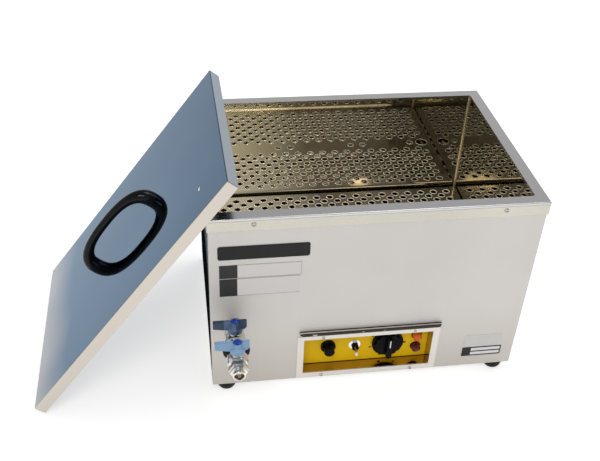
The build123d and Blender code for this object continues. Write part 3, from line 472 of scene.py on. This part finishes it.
# Band under the rim and frame round the window: thin bright strips, screwed
# to the casing with pan head screws.
band_finish, *_ = sheet_finish("bright_band_sheet", (0.50, 0.48, 0.42), (0.57, 0.55, 0.485),
                               (0.22, 0.34), (9.0, 9.0, 900.0), 5.0, 0.03)
dress(band_finish, "top_band")
bezel_finish, *_ = sheet_finish("matt_bezel_sheet", (0.58, 0.56, 0.52), (0.66, 0.64, 0.60),
                                (0.28, 0.4), (9.0, 9.0, 900.0), 5.0, 0.03)
dress(bezel_finish, "window_bezel")


# Band and frame screws: turned steel pan heads with a pressed cross recess.
# The hidden screws and the button's spring are of the same steel.
def cross_screw(x, z, seat, out, radius, shank, length):
    # out is -1 for a head that faces the front and 1 for the back. The last two
    # rings are the mouth and the floor of the recess.
    count = 48
    turns = [k * math.tau / count for k in range(count)]
    rings = []
    for reach, size in ((-length, shank * 0.6), (-length + 0.001, shank), (0.0, shank),
                        (0.0, radius), (0.0005, radius), (0.0011, radius * 0.94),
                        (0.0016, radius * 0.80), (0.0018, radius * 0.70)):
        rings.append([(x + size * math.cos(turn), seat + out * reach, z + size * math.sin(turn)) for turn in turns])
    for reach, scale in ((0.00178, 1.0), (0.0006, 0.9)):
        arm = radius * 0.62 * scale
        half = radius * 0.16 * scale
        ring = []
        for turn in turns:
            cosine = max(abs(math.cos(turn)), 1e-6)
            sine = max(abs(math.sin(turn)), 1e-6)
            size = max(min(arm / cosine, half / sine), min(half / cosine, arm / sine))
            ring.append((x + size * math.cos(turn), seat + out * reach, z + size * math.sin(turn)))
        rings.append(ring)
    return ring_piece("cross_screw", rings)


screw_finish, *_ = sheet_finish("turned_screw_steel", (0.40, 0.38, 0.33), (0.60, 0.57, 0.52),
                                (0.16, 0.28), (700.0, 60.0, 700.0), 60.0, 0.05)
band_low, band_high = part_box("band_screws")
middle_z = (band_low[2] + band_high[2]) / 2
head_height = 0.0018
screw_reach = 0.198
screws = []
for x in (middle_x - screw_reach, middle_x + screw_reach):
    for seat, out in ((band_low[1] + head_height, -1), (band_high[1] - head_height, 1)):
        screws.append(cross_screw(x, middle_z, seat, out, radius=0.0040, shank=0.0017, length=0.007))
band_screws = join_pieces("band_cross_screws", screws)
band_screws.data.materials.append(screw_finish)
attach(band_screws, "casing")
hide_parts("band_screws")
frame_low, frame_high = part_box("bezel_screws")
seat = frame_low[1] + head_height
low_head, high_head = 0.0034, 0.0024
screws = []
for x in (frame_low[0] + low_head, frame_high[0] - low_head):
    for z, radius in ((frame_low[2] + low_head, low_head), (frame_high[2] - high_head, high_head)):
        screws.append(cross_screw(x, z, seat, -1, radius, shank=0.0015, length=0.006))
frame_screws = join_pieces("frame_cross_screws", screws)
frame_screws.data.materials.append(screw_finish)
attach(frame_screws, "casing")
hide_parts("bezel_screws")
dress(screw_finish, "bow_screws", "foot_fasteners", "button_spring", "band_screws", "bezel_screws")


# Drip ledge over the window: a folded strip with a mirror polish and rounded
# ends. A thin painted shadow runs along its back where it meets the panel, and
# a band at the front and the front lip are painted dark as reflections of a
# dim room, the lip with painted streaks of highlight.
ledge_finish, tree, shader, colour = sheet_finish("mirror_ledge_sheet", (0.66, 0.64, 0.61), (0.80, 0.78, 0.75),
                                                  (0.05, 0.12), (26.0, 300.0, 300.0), 9.0)
ledge_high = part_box("drip_ledge")[1]
# Painted shadow: a thin dark band along the back.
back_painted_shadow = map_range(tree, object_axis(tree, "Y"), 0.0, 1.0, ledge_high[1] - 0.0031, ledge_high[1] - 0.0025)
with_painted_bands = mix_colours(tree, back_painted_shadow, colour, (0.05, 0.035, 0.028))
# Painted dark reflection: the band at the front.
front_painted_reflection = map_range(tree, object_axis(tree, "Y"), 1.0, 0.0, ledge_high[1] - 0.0060, ledge_high[1] - 0.0053)
with_painted_bands = mix_colours(tree, front_painted_reflection, with_painted_bands, (0.06, 0.045, 0.038))
# Painted reflection and highlight: the front lip is dark with pale painted glint streaks.
lip = map_range(tree, object_axis(tree, "Z"), 1.0, 0.0, ledge_high[2] - 0.0016, ledge_high[2] - 0.0010)
place = tree.nodes.new("ShaderNodeTexCoord")
slope = tree.nodes.new("ShaderNodeMapping")
slope.inputs["Rotation"].default_value = (0.0, math.radians(28.0), 0.0)
slope.inputs["Scale"].default_value = (1.0, 1.0, 0.2)
tree.links.new(place.outputs["Object"], slope.inputs["Vector"])
painted_glints = tree.nodes.new("ShaderNodeTexNoise")
painted_glints.inputs["Scale"].default_value = 70.0
painted_glints.inputs["Detail"].default_value = 1.0
tree.links.new(slope.outputs["Vector"], painted_glints.inputs["Vector"])
painted_glint_streak = map_range(tree, painted_glints.outputs["Fac"], 0.0, 1.0, 0.60, 0.68)
lip_painted_dark_and_glints = mix_colours(tree, painted_glint_streak, (0.045, 0.035, 0.03), (0.42, 0.39, 0.35))
tree.links.new(mix_colours(tree, lip, with_painted_bands, lip_painted_dark_and_glints), shader.inputs["Base Color"])
dress(ledge_finish, "drip_ledge")


# Control plate: yellow lacquered sheet behind the window. The sleeve round it
# is polished sheet that mirrors the yellow and the controls, with a dark band
# painted along its back as a reflection.
yellow_finish, tree, shader = new_finish("yellow_lacquer", (0.80, 0.50, 0.02), 0.0, 0.42, 0.2)
place = tree.nodes.new("ShaderNodeTexCoord")
tone = tree.nodes.new("ShaderNodeTexNoise")
tone.inputs["Scale"].default_value = 14.0
tree.links.new(place.outputs["Object"], tone.inputs["Vector"])
colour = mix_colours(tree, tone.outputs["Fac"], (0.82, 0.50, 0.003), (0.93, 0.60, 0.005))
tree.links.new(colour, shader.inputs["Base Color"])
tree.links.new(map_range(tree, tone.outputs["Fac"], 0.38, 0.48), shader.inputs["Roughness"])
dress(yellow_finish, "control_plate")
sleeve_finish, tree, shader, colour = sheet_finish("bright_sleeve_sheet", (0.36, 0.27, 0.20), (0.48, 0.37, 0.28),
                                                   (0.04, 0.10), (300.0, 9.0, 300.0), 9.0)
sleeve_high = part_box("control_recess")[1]
# Painted dark reflection: a band along the back of the sleeve.
back_painted_dark_band = map_range(tree, object_axis(tree, "Y"), 0.0, 1.0, sleeve_high[1] - 0.0030, sleeve_high[1] - 0.0022)
tree.links.new(mix_colours(tree, back_painted_dark_band, colour, (0.05, 0.025, 0.012)), shader.inputs["Base Color"])
dress(sleeve_finish, "control_recess")


# Black mouldings: push button, dial, lamp tubes, cable gland and the switch
# bodies behind the plate, in semi-gloss plastic with a fine texture.
def plastic_finish(name, low, high, roughness, size, specular=0.5):
    finish, tree, shader = new_finish(name, high, 0.0, roughness[0], specular)
    place = tree.nodes.new("ShaderNodeTexCoord")
    texture = tree.nodes.new("ShaderNodeTexNoise")
    texture.inputs["Scale"].default_value = size
    texture.inputs["Detail"].default_value = 4.0
    tree.links.new(place.outputs["Object"], texture.inputs["Vector"])
    tree.links.new(mix_colours(tree, texture.outputs["Fac"], low, high), shader.inputs["Base Color"])
    tree.links.new(map_range(tree, texture.outputs["Fac"], *roughness), shader.inputs["Roughness"])
    add_bump(tree, shader, texture.outputs["Fac"], 0.05, 0.0004)
    return finish, tree, shader


black_finish, *_ = plastic_finish("black_moulding", (0.003, 0.003, 0.003), (0.007, 0.007, 0.008),
                                  (0.24, 0.36), 260.0, 0.05)
dress(black_finish, "button_base", "button_cap", "dial_knob", "dial_scale")
dress(black_finish, "lamp_bodies", "cable_gland", "toggle_body", "contactor")
grey_finish, *_ = plastic_finish("grey_moulding", (0.16, 0.165, 0.17), (0.22, 0.225, 0.23),
                                 (0.4, 0.55), 200.0)
dress(grey_finish, "thermostat_body", "terminal_block")
white_finish, *_ = plastic_finish("white_moulding", (0.80, 0.80, 0.78), (0.90, 0.90, 0.88),
                                  (0.25, 0.35), 120.0)
dress(white_finish, "dial_pointer", "valve_seats")


# Return spring behind the push button: hard drawn wire, coiled round the
# button's stem between the plate and the cap, and shortened as it is pressed.
spring_low, spring_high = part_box("button_spring")
spring_x = (spring_low[0] + spring_high[0]) / 2
spring_z = (spring_low[2] + spring_high[2]) / 2
wire = 0.00045
coil_turns = 4
coil_steps = 192
wire_spokes = 10
end_gap, side_gap = 0.0002, 0.0001
coil_radius = (spring_high[0] - spring_low[0]) / 2 - wire
spring_length = spring_high[1] - spring_low[1]
rings = []
for step in range(coil_steps + 1):
    turn = step / coil_steps * coil_turns * math.tau
    y = spring_low[1] + wire + end_gap + (spring_length - 2 * wire - 2 * end_gap) * step / coil_steps
    out = (math.cos(turn), math.sin(turn))
    ring = []
    for spoke in range(wire_spokes):
        angle = spoke * math.tau / wire_spokes
        reach = coil_radius - side_gap + wire * math.cos(angle)
        ring.append((spring_x + reach * out[0], y + wire * math.sin(angle), spring_z + reach * out[1]))
    rings.append(ring)
coil_spring = join_pieces("button_coil_spring", [ring_piece("spring_wire", rings)])
coil_spring.data.materials.append(screw_finish)
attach(coil_spring, "casing")
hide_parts("button_spring")
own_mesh(coil_spring)


# Toggle switch: chromed nut and washer, and a turned bat lever with a paler
# tip. The valves' balls and stems are chromed as well.
chrome_finish, *_ = sheet_finish("bright_chrome", (0.80, 0.81, 0.83), (0.92, 0.93, 0.94),
                                 (0.12, 0.22), (80.0, 80.0, 80.0), 40.0)
dress(chrome_finish, "toggle_nut", "valve_core_rear", "valve_core_front")
bat_finish, tree, shader, colour = sheet_finish("chromed_bat_lever", (0.36, 0.25, 0.11), (0.50, 0.36, 0.18),
                                                (0.14, 0.24), (80.0, 80.0, 80.0), 40.0)
bat_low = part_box("toggle_lever")[0]
tip = map_range(tree, object_axis(tree, "Y"), 1.0, 0.0, bat_low[1] + 0.0036, bat_low[1] + 0.0046)
tree.links.new(mix_colours(tree, tip, colour, (0.95, 0.95, 0.94)), shader.inputs["Base Color"])
tree.links.new(map_range(tree, tip, 0.16, 0.5, 0.0, 1.0), shader.inputs["Roughness"])
tree.links.new(map_range(tree, tip, 0.5, 0.1, 0.0, 1.0), shader.inputs["Metallic"])
dress(bat_finish, "toggle_lever")


# Pilot lamps: clear tinted caps, one orange and one dark red, with a faint
# painted glow for the light that gathers inside.
def lens_finish(name, tint, glow, strength):
    finish, tree, shader = new_finish(name, tint, 0.0, 0.12, 0.3)
    place = tree.nodes.new("ShaderNodeTexCoord")
    rings = tree.nodes.new("ShaderNodeTexNoise")
    rings.inputs["Scale"].default_value = 240.0
    tree.links.new(place.outputs["Object"], rings.inputs["Vector"])
    darker = tuple(0.5 * value for value in tint)
    tree.links.new(mix_colours(tree, rings.outputs["Fac"], darker, tint), shader.inputs["Base Color"])
    tree.links.new(map_range(tree, rings.outputs["Fac"], 0.06, 0.16), shader.inputs["Roughness"])
    # Painted glow: the caps give off a little light of their own.
    shader.inputs["Emission Color"].default_value = (*glow, 1.0)
    shader.inputs["Emission Strength"].default_value = strength
    return finish


dress(lens_finish("orange_lens", (0.80, 0.13, 0.008), (1.0, 0.26, 0.03), 0.08), "lamp_lens_upper")
dress(lens_finish("red_lens", (0.13, 0.003, 0.010), (0.5, 0.02, 0.06), 0.012), "lamp_lens_lower")


# Heater and thermostat line: a dark sheathed rod bent into a loop under the
# plate, a copper bulb beside it, and brass fittings through the tank floor.
sheath_finish, *_ = sheet_finish("scaled_heater_sheath", (0.16, 0.14, 0.12), (0.34, 0.31, 0.28),
                                 (0.3, 0.5), (40.0, 300.0, 300.0), 40.0, 0.08)
dress(sheath_finish, "heater_element")
copper_finish, *_ = sheet_finish("drawn_copper", (0.52, 0.24, 0.12), (0.80, 0.42, 0.25),
                                 (0.2, 0.36), (40.0, 300.0, 300.0), 40.0, 0.05)
dress(copper_finish, "thermostat_bulb")
brass_finish, *_ = sheet_finish("machined_brass", (0.36, 0.29, 0.17), (0.50, 0.41, 0.25),
                                (0.2, 0.34), (300.0, 300.0, 300.0), 30.0, 0.05)
dress(brass_finish, "thermostat_gland", "heater_bushings", "valve_nipple")


# Rubber feet and the seal between the valves, moulded black with a faint
# grain, each foot screwed up through the base.
rubber_finish, *_ = plastic_finish("black_foot_rubber", (0.006, 0.006, 0.006), (0.014, 0.014, 0.014),
                                   (0.5, 0.7), 900.0, 0.2)
dress(rubber_finish, "feet", "valve_seal_ring")


# Drain line: two nickel plated ball valves and a spout, cast and turned, with
# lacquered blue wings and domed caps over the stem nuts. The rear wings are
# painted dark as shade, a little lighter at the hub.
def inside_field(tree, x_range, z_range):
    # Mask that is 1 where a point's X and Z both lie in their ranges.
    total = None
    for axis, (low, high) in (("X", x_range), ("Z", z_range)):
        centred = tree.nodes.new("ShaderNodeMath")
        centred.operation = 'SUBTRACT'
        centred.inputs[1].default_value = (low + high) / 2
        tree.links.new(object_axis(tree, axis), centred.inputs[0])
        away = tree.nodes.new("ShaderNodeMath")
        away.operation = 'ABSOLUTE'
        tree.links.new(centred.outputs["Value"], away.inputs[0])
        inside = tree.nodes.new("ShaderNodeMath")
        inside.operation = 'LESS_THAN'
        inside.inputs[1].default_value = (high - low) / 2
        tree.links.new(away.outputs["Value"], inside.inputs[0])
        if total is None:
            total = inside.outputs["Value"]
        else:
            both = tree.nodes.new("ShaderNodeMath")
            both.operation = 'MULTIPLY'
            tree.links.new(total, both.inputs[0])
            tree.links.new(inside.outputs["Value"], both.inputs[1])
            total = both.outputs["Value"]
    return total


nickel_finish, *_ = sheet_finish("nickel_plating", (0.56, 0.51, 0.46), (0.88, 0.84, 0.80),
                                 (0.06, 0.16), (70.0, 300.0, 300.0), 60.0, 0.03)
dress(nickel_finish, "valve_body_rear", "valve_body_front", "hose_nozzle", "drain_locknut")
wing_finish, *_ = plastic_finish("light_blue_lacquer", (0.20, 0.35, 0.53), (0.26, 0.41, 0.60),
                                 (0.3, 0.42), 90.0, 0.35)
dress(wing_finish, "valve_handle_front")
# Painted shade: the rear handle is a darker copy of the blue lacquer, lighter at its hub.
shade_finish, tree, shader = plastic_finish("blue_lacquer_painted_shade", (0.028, 0.052, 0.095), (0.045, 0.075, 0.13),
                                            (0.3, 0.42), 90.0, 0.3)
wing_low, wing_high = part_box("valve_handle_rear")
hub_x = (wing_low[0] + wing_high[0]) / 2
hub_radius = 0.0095
hub = inside_field(tree, (hub_x - hub_radius, hub_x + hub_radius), (wing_low[2], wing_high[2]))
colour = shader.inputs["Base Color"].links[0].from_socket
tree.links.new(mix_colours(tree, hub, colour, (0.10, 0.16, 0.27)), shader.inputs["Base Color"])
dress(shade_finish, "valve_handle_rear")
cap_finish, *_ = plastic_finish("deep_blue_cap", (0.006, 0.04, 0.28), (0.012, 0.06, 0.38),
                                (0.1, 0.16), 90.0)
dress(cap_finish, "valve_cap_rear", "valve_cap_front")


# Name plate: a bare plate of charcoal plastic with rounded corners, glued to
# the front panel.
badge_finish, *_ = plastic_finish("charcoal_badge", (0.016, 0.016, 0.017), (0.024, 0.024, 0.025),
                                  (0.3, 0.42), 60.0, 0.15)
dress(badge_finish, "name_plate")


# Front labels: two bare white films stuck on under the name plate, each with
# a dark block at its left end and a thin grey edge.
film_finish, tree, shader = plastic_finish("white_film", (0.34, 0.34, 0.34), (0.40, 0.40, 0.40),
                                           (0.34, 0.46), 80.0, 0.3)
colour = shader.inputs["Base Color"].links[0].from_socket
film_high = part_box("front_labels")[1]
film_end = film_high[0] - middle_x - 0.0007
field_tint, block_tint = (0.72, 0.70, 0.68), (0.030, 0.030, 0.030)
for x_range, z_range, tint in (((-0.2232, film_end), (0.2556, 0.2800), field_tint),
                               ((-0.2237, film_end), (0.2190, 0.2524), field_tint),
                               ((-0.2535, -0.2235), (0.2540, 0.2815), block_tint),
                               ((-0.2535, -0.2240), (0.2170, 0.2534), block_tint)):
    field = inside_field(tree, [middle_x + value for value in x_range], z_range)
    colour = mix_colours(tree, field, colour, tint)
tree.links.new(colour, shader.inputs["Base Color"])
dress(film_finish, "front_labels")


# Rating plate: black film with two empty white fields, stuck on low at the
# right. A plain pale film sits above it.
rating_finish, tree, shader = plastic_finish("rating_plate_film", (0.012, 0.012, 0.012), (0.02, 0.02, 0.02),
                                             (0.3, 0.42), 80.0, 0.2)
colour = shader.inputs["Base Color"].links[0].from_socket
for z_range in ((0.0525, 0.0590), (0.0432, 0.0497)):
    field = inside_field(tree, (middle_x + 0.190, middle_x + 0.2435), z_range)
    colour = mix_colours(tree, field, colour, (0.80, 0.80, 0.79))
tree.links.new(colour, shader.inputs["Base Color"])
dress(rating_finish, "rating_plate")
notice_finish, *_ = plastic_finish("pale_notice_film", (0.62, 0.62, 0.60), (0.68, 0.68, 0.66),
                                   (0.3, 0.45), 80.0)
dress(notice_finish, "notice_plate")


# Lid: a folded pan of mirror polished sheet that leans on the rim. Its top is
# painted dark slate blue as a reflection, with a cool painted sheen, and painted
# paler towards the end on the floor. Its upper edge is painted paler and its
# front edge warm, as painted reflections too.
# Painted reflection: the sheet's dark slate blue.
lid_finish, tree, shader, colour = sheet_finish("mirror_lid_sheet", (0.074, 0.113, 0.165), (0.098, 0.145, 0.205),
                                                (0.02, 0.05), (40.0, 9.0, 40.0), 4.0)
place = tree.nodes.new("ShaderNodeTexCoord")
drift = tree.nodes.new("ShaderNodeTexNoise")
drift.inputs["Scale"].default_value = 5.0
drift.inputs["Detail"].default_value = 1.0
tree.links.new(place.outputs["Object"], drift.inputs["Vector"])
along = tree.nodes.new("ShaderNodeMath")
along.operation = 'MULTIPLY_ADD'
along.inputs[1].default_value = 0.06
tree.links.new(drift.outputs["Fac"], along.inputs[0])
tree.links.new(object_axis(tree, "X"), along.inputs[2])
# Painted reflection: paler towards the end on the floor.
pale_end_painted_reflection = map_range(tree, along.outputs["Value"], 1.0, 0.0, -0.380, -0.325)
colour = mix_colours(tree, pale_end_painted_reflection, colour, (0.38, 0.34, 0.325))
# Painted reflection: the front edge is warm.
front_edge_painted_reflection = map_range(tree, object_axis(tree, "Y", "Normal"), 1.0, 0.0, -0.8, -0.4)
colour = mix_colours(tree, front_edge_painted_reflection, colour, (0.56, 0.515, 0.455))
# Painted reflection: the upper edge is paler.
upper_edge_painted_reflection = map_range(tree, object_axis(tree, "X", "Normal"), 0.0, 1.0, 0.4, 0.55)
colour = mix_colours(tree, upper_edge_painted_reflection, colour, (0.37, 0.39, 0.43))
tree.links.new(colour, shader.inputs["Base Color"])
# Painted sheen: a cool tint in the highlights.
shader.inputs["Specular Tint"].default_value = (0.785, 0.865, 0.94, 1.0)
dress(lid_finish, "lid_pan")


# Bow handle: a glossy black moulding, held by two screws that come up from
# inside the lid.
handle_finish, *_ = plastic_finish("gloss_black_grip", (0.002, 0.002, 0.002), (0.005, 0.005, 0.005),
                                   (0.05, 0.1), 60.0, 0.18)
dress(handle_finish, "bow_handle")
